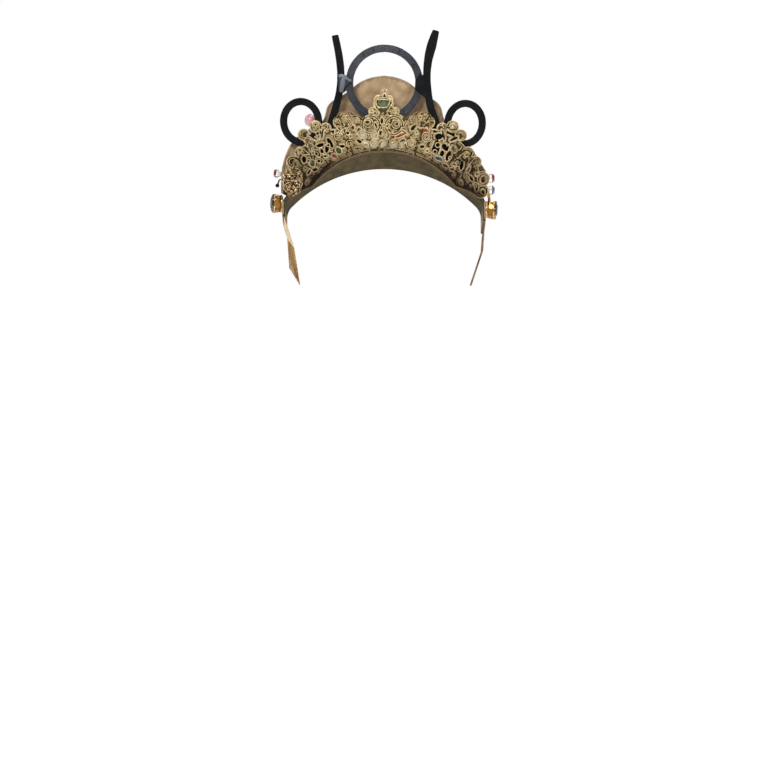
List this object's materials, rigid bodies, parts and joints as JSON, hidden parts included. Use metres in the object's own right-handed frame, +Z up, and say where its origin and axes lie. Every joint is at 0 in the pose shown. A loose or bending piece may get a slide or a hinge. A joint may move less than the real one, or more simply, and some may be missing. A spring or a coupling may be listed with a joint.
{
  "type": "crystal crown",
  "caption": "Arched crown of pierced gold lace, ribbon-wound rings and a velvet plate set with cut crystals, on a padded band with a hair comb under each end.",
  "frame": {"origin": "inside of the band's rear edge at the crest, where the crown rests on the head", "axes": "+Z up, +Y to the front of the wearer, +X to the wearer's right"},
  "size_m": [0.198, 0.0465, 0.2231],
  "materials": {
    "crystal_champagne": "clear champagne cut crystal in a gold cup",
    "crystal_red": "deep red cut crystal in a gold cup",
    "crystal_green": "leaf green cut crystal in a gold cup",
    "crystal_blue": "dark blue cut crystal in a gold cup",
    "crystal_smoke": "dark smoky cut crystal",
    "pink_bead": "cloudy pink glass bead",
    "velvet_grey": "grey-brown velvet over a stiff strap",
    "velvet_tan": "tan velvet over a stiff plate",
    "gold_lace": "pierced gold cord lace",
    "satin_grey": "slate grey satin ribbon, wound round wire",
    "black_ribbon": "black ribbed ribbon, wound round wire",
    "gilt_metal": "gilt brass"
  },
  "bodies": {
    "root": {"crystal_centre": "crystal_champagne", "crystal_inner_left": "crystal_champagne", "crystal_inner_right": "crystal_champagne", "crystal_mid_left": "crystal_champagne", "crystal_mid_right": "crystal_champagne", "crystal_outer_left": "crystal_champagne", "crystal_outer_right": "crystal_champagne", "crystal_upper_left": "crystal_champagne", "crystal_upper_middle": "crystal_champagne", "crystal_upper_right": "crystal_champagne", "red_baguette": "crystal_red", "red_stone_left": "crystal_red", "red_stone_inner": "crystal_red", "red_stone_outer": "crystal_red", "red_stone_right": "crystal_red", "red_stone_low": "crystal_red", "side_crystal_left": "crystal_red", "side_crystal_right_upper": "crystal_red", "green_stone_inner": "crystal_green", "green_stone_left": "crystal_green", "green_stone_low": "crystal_green", "green_stone_end": "crystal_green", "green_stone_right": "crystal_green", "finial_stone": "crystal_green", "blue_stone": "crystal_blue", "side_crystal_right_lower": "crystal_blue", "stud_stone_left": "crystal_smoke", "stud_stone_right": "crystal_smoke", "pink_bead": "pink_bead", "head_band": "velvet_grey", "backing_plate": "velvet_tan", "lace_end_left": "gold_lace", "lace_left": "gold_lace", "lace_centre": "gold_lace", "lace_right": "gold_lace", "lace_end_right": "gold_lace", "centre_ring": "satin_grey", "ring_wrap_left": "satin_grey", "loop_left": "black_ribbon", "loop_right": "black_ribbon", "upright_left": "black_ribbon", "upright_right": "black_ribbon", "ring_wrap_right": "black_ribbon", "edge_pin_left": "black_ribbon", "filigree_ball": "gilt_metal", "stud_left": "gilt_metal", "stud_right": "gilt_metal", "comb_left": "gilt_metal", "comb_right": "gilt_metal"}
  },
  "joints": []
}
